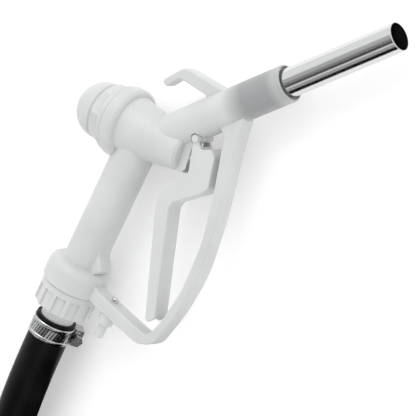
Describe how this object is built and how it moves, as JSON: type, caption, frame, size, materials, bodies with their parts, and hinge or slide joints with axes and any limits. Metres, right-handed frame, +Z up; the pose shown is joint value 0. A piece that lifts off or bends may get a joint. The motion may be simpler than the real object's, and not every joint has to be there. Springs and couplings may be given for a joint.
{
  "type": "fuel nozzle",
  "caption": "Hand-held gravity-feed fuel nozzle with a straight tube spout, trigger lever and guard, hold-open pin, capped valve chamber, hanging hook and a short rubber hose.",
  "frame": {"origin": "centre of the spout's mouth", "axes": "+X out of the spout along its axis; +Z up from the floor the nozzle lies on, across its mid-plane; +Y towards the hanging hook"},
  "size_m": [0.8419, 0.4598, 0.0606],
  "materials": {
    "white_polypropylene": "satin",
    "white_acetal": "satin",
    "stainless_steel": "satin",
    "zinc_plated_steel": "polished",
    "spring_steel": "satin",
    "nitrile_rubber": "matte",
    "black_rubber": "satin"
  },
  "bodies": {
    "nozzle": {"nozzle_body": "white_polypropylene", "trigger_guard": "white_polypropylene", "hanging_hook": "white_polypropylene", "valve_cap": "white_polypropylene", "cap_seal": "nitrile_rubber", "valve_spring": "spring_steel", "gland_nut": "white_acetal", "stem_seal": "nitrile_rubber", "lever_pin": "white_acetal", "lever_clip": "spring_steel", "lock_housing": "white_acetal", "spout_tube": "stainless_steel", "tail_gasket": "nitrile_rubber", "hose_tail": "white_acetal", "union_nut": "white_acetal", "clamp_band": "zinc_plated_steel", "clamp_housing": "zinc_plated_steel", "clamp_screw": "zinc_plated_steel", "tail_gasket_far": "nitrile_rubber", "hose_tail_far": "white_acetal", "union_nut_far": "white_acetal", "clamp_band_far": "zinc_plated_steel", "clamp_housing_far": "zinc_plated_steel", "clamp_screw_far": "zinc_plated_steel", "hose": "black_rubber"},
    "lever": {"lever": "white_acetal"},
    "valve": {"valve_stem": "stainless_steel", "valve_poppet": "white_acetal", "poppet_seal": "nitrile_rubber"},
    "lock": {"lock_pin": "stainless_steel", "lock_button": "white_acetal"}
  },
  "joints": [
    {"name": "lever_hinge", "type": "hinge", "parent": "nozzle", "child": "lever", "pos_m": [-0.20125, -0.014, 0], "axis": [0, 0, -1], "range_deg": [0, 20], "stiffness_Nm_per_rad": 1.2, "springref_deg": -20.05},
    {"name": "valve_slide", "type": "slide", "parent": "nozzle", "child": "valve", "axis": [-0.7513, 0.66, 0], "range_m": [0, 0.0066], "deforming": ["valve_spring"]},
    {"name": "lock_slide", "type": "slide", "parent": "nozzle", "child": "lock", "axis": [0.7615, 0.6481, 0], "range_m": [0, 0.012], "stiffness_N_per_m": 150, "springref_m": -0.004}
  ],
  "couplings": [
    {"joint": "valve_slide", "follows": "lever_hinge", "m_per_rad": 0.01855}
  ]
}
